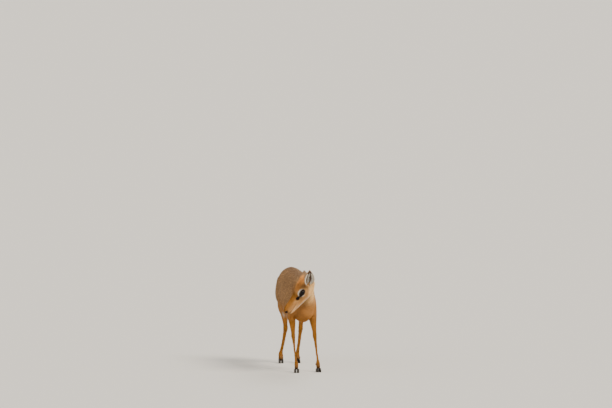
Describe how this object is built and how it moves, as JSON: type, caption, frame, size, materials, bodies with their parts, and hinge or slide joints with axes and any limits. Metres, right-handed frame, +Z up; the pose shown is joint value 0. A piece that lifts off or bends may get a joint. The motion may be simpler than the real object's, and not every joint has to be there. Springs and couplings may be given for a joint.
{
  "type": "dik-dik",
  "caption": "Life-size still model of a dik-dik, a tiny antelope, standing with its head lowered and turned to its right.",
  "frame": {"origin": "on the floor, under the middle of the animal's own box", "axes": "+Z up; the body faces -Y, and its head is turned to its own right, -X"},
  "size_m": [0.1508, 0.488, 0.3754],
  "materials": {
    "body_coat": "short grizzled fur",
    "neck_coat": "short fur",
    "face_coat": "very short fur",
    "leg_coat": "very short fur",
    "ear_coat": "thin fur over skin",
    "eye": "wet gloss",
    "hoof": "dull horn"
  },
  "bodies": {
    "root": {"ear_left": "ear_coat", "ear_right": "ear_coat", "eye_left": "eye", "eye_right": "eye", "false_hoof_fore_left_inner": "hoof", "false_hoof_fore_left_outer": "hoof", "false_hoof_fore_right_inner": "hoof", "false_hoof_fore_right_outer": "hoof", "false_hoof_hind_left_inner": "hoof", "false_hoof_hind_left_outer": "hoof", "false_hoof_hind_right_inner": "hoof", "false_hoof_hind_right_outer": "hoof", "head": "face_coat", "hoof_fore_left_inner": "hoof", "hoof_fore_left_outer": "hoof", "hoof_fore_right_inner": "hoof", "hoof_fore_right_outer": "hoof", "hoof_hind_left_inner": "hoof", "hoof_hind_left_outer": "hoof", "hoof_hind_right_inner": "hoof", "hoof_hind_right_outer": "hoof", "leg_fore_left": "leg_coat", "leg_fore_right": "leg_coat", "leg_hind_left": "leg_coat", "leg_hind_right": "leg_coat", "neck": "neck_coat", "tail": "body_coat", "torso": "body_coat"}
  },
  "joints": []
}
